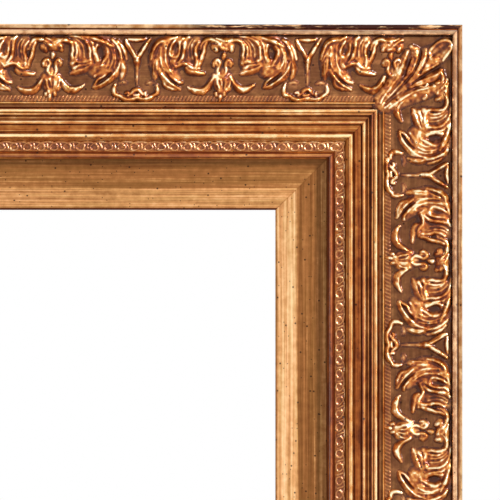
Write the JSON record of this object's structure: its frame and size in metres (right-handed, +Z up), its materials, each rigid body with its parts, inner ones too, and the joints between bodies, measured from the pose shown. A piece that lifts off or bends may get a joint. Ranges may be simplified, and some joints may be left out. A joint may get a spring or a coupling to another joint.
{
  "type": "ornate gilded picture frame",
  "caption": "Wide gilded picture frame with cast acanthus scrolls on a sloping frieze, beaded inner mouldings, a bevelled liner, and hangers and turn buttons on the back.",
  "frame": {"origin": "middle of the top rail's flat back face, on the back plane that lies along the wall", "axes": "+X along the top rail to the right as seen from the front, +Y out of the back into the wall (the moulded face looks towards -Y), +Z up"},
  "size_m": [0.6894, 0.0487, 0.5878],
  "materials": {
    "gilt_moulding": "worn gold leaf and bronze over gesso, toned dark in the recesses",
    "gilt_liner": "satin gold leaf, bright on the bevel",
    "gilt_ornament": "gilded composition, rubbed bright on the ridges",
    "brass_hardware": "brass plated steel, dulled",
    "steel_fasteners": "bare steel",
    "bumper_rubber": "matte"
  },
  "bodies": {
    "frame": {"rail_top": "gilt_moulding", "liner_top": "gilt_liner", "acanthus_top": "gilt_ornament", "bellflowers_top": "gilt_ornament", "shells_top": "gilt_ornament", "ribbing_top": "gilt_ornament", "chain_top": "gilt_ornament", "rail_right": "gilt_moulding", "liner_right": "gilt_liner", "acanthus_right": "gilt_ornament", "bellflowers_right": "gilt_ornament", "shells_right": "gilt_ornament", "ribbing_right": "gilt_ornament", "chain_right": "gilt_ornament", "rail_bottom": "gilt_moulding", "liner_bottom": "gilt_liner", "acanthus_bottom": "gilt_ornament", "bellflowers_bottom": "gilt_ornament", "shells_bottom": "gilt_ornament", "ribbing_bottom": "gilt_ornament", "chain_bottom": "gilt_ornament", "rail_left": "gilt_moulding", "liner_left": "gilt_liner", "acanthus_left": "gilt_ornament", "bellflowers_left": "gilt_ornament", "shells_left": "gilt_ornament", "ribbing_left": "gilt_ornament", "chain_left": "gilt_ornament", "corner_leaf_top_left": "gilt_ornament", "corner_leaf_top_right": "gilt_ornament", "corner_leaf_bottom_left": "gilt_ornament", "corner_leaf_bottom_right": "gilt_ornament", "hanger_strap_left": "brass_hardware", "hanger_strap_right": "brass_hardware", "button_screws": "brass_hardware", "hanger_screws": "brass_hardware", "frame_nails": "steel_fasteners", "liner_nails": "steel_fasteners", "liner_points": "steel_fasteners", "wall_bumpers": "bumper_rubber"},
    "turn_button_top": {"turn_button_top": "brass_hardware"},
    "turn_button_right": {"turn_button_right": "brass_hardware"},
    "turn_button_bottom": {"turn_button_bottom": "brass_hardware"},
    "turn_button_left": {"turn_button_left": "brass_hardware"},
    "hanger_ring_left": {"hanger_ring_left": "brass_hardware"},
    "hanger_ring_right": {"hanger_ring_right": "brass_hardware"}
  },
  "joints": [
    {"name": "button_top_turn", "type": "hinge", "parent": "frame", "child": "turn_button_top", "pos_m": [0, -0.0033, -0.04267], "axis": [0, 1, 0], "range_deg": [-35, 215]},
    {"name": "button_right_turn", "type": "hinge", "parent": "frame", "child": "turn_button_right", "pos_m": [0.2688, -0.0033, -0.26067], "axis": [0, 1, 0], "range_deg": [-35, 215]},
    {"name": "button_bottom_turn", "type": "hinge", "parent": "frame", "child": "turn_button_bottom", "pos_m": [0, -0.0033, -0.47868], "axis": [0, 1, 0], "range_deg": [-35, 215]},
    {"name": "button_left_turn", "type": "hinge", "parent": "frame", "child": "turn_button_left", "pos_m": [-0.2688, -0.0033, -0.26067], "axis": [0, 1, 0], "range_deg": [-35, 215]},
    {"name": "ring_left_swing", "type": "hinge", "parent": "frame", "child": "hanger_ring_left", "pos_m": [-0.2977, 0.00235, -0.16271], "axis": [0, 0, 1], "range_deg": [0, 176]},
    {"name": "ring_right_swing", "type": "hinge", "parent": "frame", "child": "hanger_ring_right", "pos_m": [0.2977, 0.00235, -0.16271], "axis": [0, 0, -1], "range_deg": [0, 176]}
  ]
}
